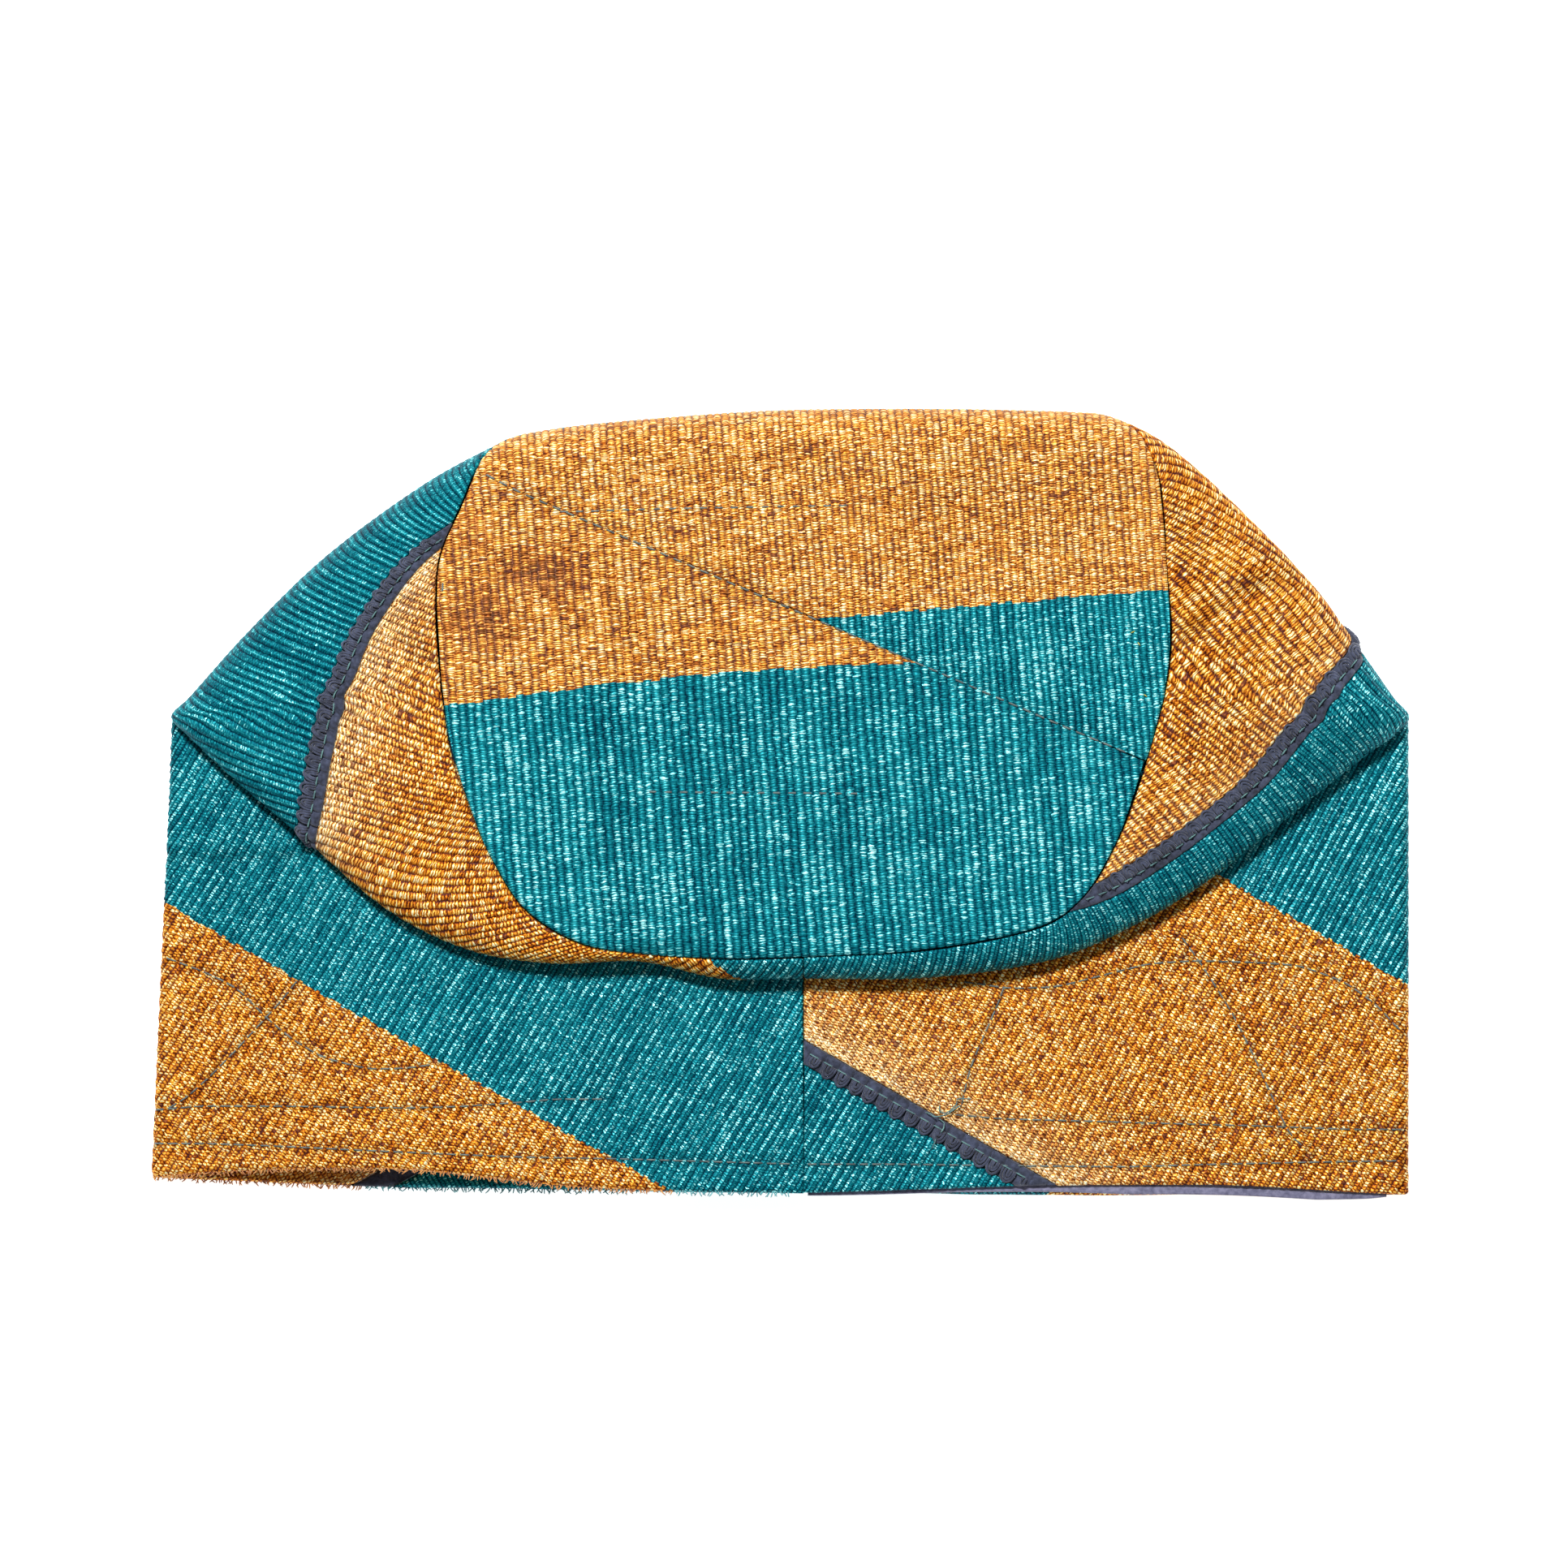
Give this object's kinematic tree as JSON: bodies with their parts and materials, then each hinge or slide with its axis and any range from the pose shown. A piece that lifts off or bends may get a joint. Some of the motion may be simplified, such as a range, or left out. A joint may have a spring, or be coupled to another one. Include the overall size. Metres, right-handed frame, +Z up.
{
  "type": "aso-oke cap",
  "caption": "Soft fila cap of slanted teal and gold aso-oke strips, lying flat with its upper part folded over the front and its oval crown up; the mouth takes a head.",
  "frame": {"origin": "centre of the bounding box's underside: the middle of the folded cap, on the table that it lies on", "axes": "+Z up from the table; +Y to the folded top edge behind the crown, -Y to the hem and the mouth; +X to the right seen from above with the crown at the top; the longest way is along X"},
  "size_m": [0.2944, 0.1842, 0.0222],
  "materials": {
    "aso_oke_cloth": "ribbed metallic weave, teal with slanted gold stripes",
    "crown_cloth": "ribbed metallic weave, gold above and teal below",
    "selvedge_yarn": "matt slate yarn in thick loops",
    "hem_facing_cloth": "smooth dull slate cloth"
  },
  "bodies": {
    "root": {"wall_strip_1": "aso_oke_cloth", "wall_strip_2": "aso_oke_cloth", "wall_strip_3": "aso_oke_cloth", "wall_strip_4": "aso_oke_cloth", "selvedge_1": "selvedge_yarn", "selvedge_2": "selvedge_yarn", "selvedge_3": "selvedge_yarn", "crown_strip_upper": "crown_cloth", "crown_strip_lower": "crown_cloth", "hem_facing": "hem_facing_cloth"}
  },
  "joints": []
}
